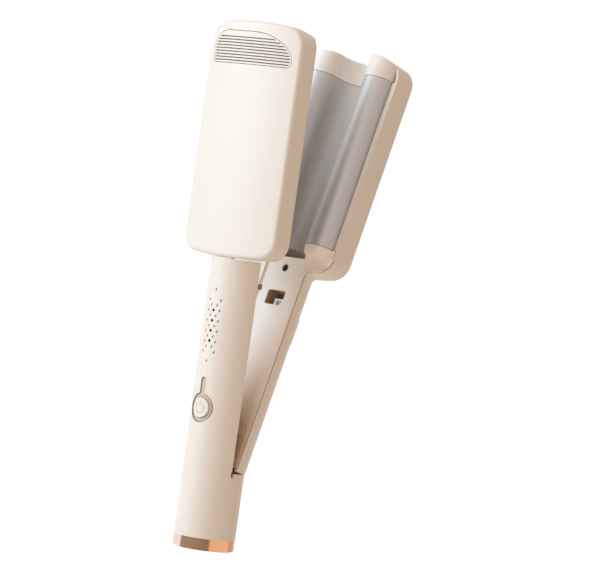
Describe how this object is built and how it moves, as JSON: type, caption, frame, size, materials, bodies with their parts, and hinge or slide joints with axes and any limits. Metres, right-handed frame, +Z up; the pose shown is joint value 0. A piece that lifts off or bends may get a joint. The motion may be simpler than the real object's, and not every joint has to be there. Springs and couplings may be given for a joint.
{
  "type": "clamp hair waver",
  "caption": "Hand-held hair waver: round handle, flat front paddle with vent, sprung back arm with a wave plate on a hinge near the base.",
  "frame": {"origin": "centre of the flat underside of the base", "axes": "+Z up the front handle, -Y out of the front face, X across the width"},
  "size_m": [0.0724, 0.1049, 0.3002],
  "materials": {
    "cream_shell": "satin moulded",
    "cream_inner": "satin moulded",
    "rose_ring": "polished rose gold plating",
    "steel": "stamped",
    "board": "solder mask",
    "spring_steel": "spring temper",
    "switch_black": "moulded",
    "light_pipe": "smoked clear",
    "cell_foil": "pouch foil",
    "taupe_plate": "satin",
    "cream_button": "satin moulded",
    "cream_grille": "satin moulded",
    "wave_plate": "ceramic coated, satin",
    "heater_bar": "extruded",
    "ceramic": "fired ceramic",
    "filter_mesh": "woven mesh"
  },
  "bodies": {
    "front_arm": {"front_handle_shell": "cream_shell", "base_cap": "cream_inner", "base_ring": "rose_ring", "usb_socket": "steel", "charge_board": "board", "hinge_bracket": "steel", "hinge_pin": "steel", "hinge_spring": "spring_steel", "control_board": "board", "tact_switch": "switch_black", "light_pipes": "light_pipe", "front_cell": "cell_foil", "button_plate": "taupe_plate", "front_inner_cover": "cream_inner", "latch_hook": "cream_inner", "front_paddle": "cream_shell", "vent_grille": "cream_grille", "vent_filter": "filter_mesh", "front_wave_plate": "wave_plate", "front_top_cap": "cream_inner", "front_bottom_cap": "cream_inner", "front_heater_bar": "heater_bar", "front_ceramic": "ceramic", "front_heater_clamp": "spring_steel", "front_thermal_cutout": "switch_black"},
    "button": {"power_button": "cream_button"},
    "back_arm": {"back_shell": "cream_shell", "back_inner_cover": "cream_inner", "cover_screw": "steel", "back_cell": "cell_foil", "back_wave_plate": "wave_plate", "back_top_cap": "cream_inner", "back_heater_bar_left": "heater_bar", "back_heater_bar_right": "heater_bar", "back_ceramic_left": "ceramic", "back_ceramic_right": "ceramic", "back_clamp_left": "spring_steel", "back_clamp_right": "spring_steel", "back_thermal_cutout": "switch_black"},
    "slider": {"lock_slider": "cream_button"}
  },
  "joints": [
    {"name": "jaw_hinge", "type": "hinge", "parent": "front_arm", "child": "back_arm", "pos_m": [0, 0.006, 0.0436], "axis": [1, 0, 0], "range_deg": [0, 16.2], "stiffness_Nm_per_rad": 0.5, "springref_deg": -28.65},
    {"name": "button_press", "type": "slide", "parent": "front_arm", "child": "button", "axis": [0, 1, 0], "range_m": [0, 0.0006], "stiffness_N_per_m": 1500, "springref_m": -0.0006},
    {"name": "lock_slide", "type": "slide", "parent": "back_arm", "child": "slider", "axis": [0, 0.279, 0.9603], "range_m": [0, 0.0022]}
  ]
}
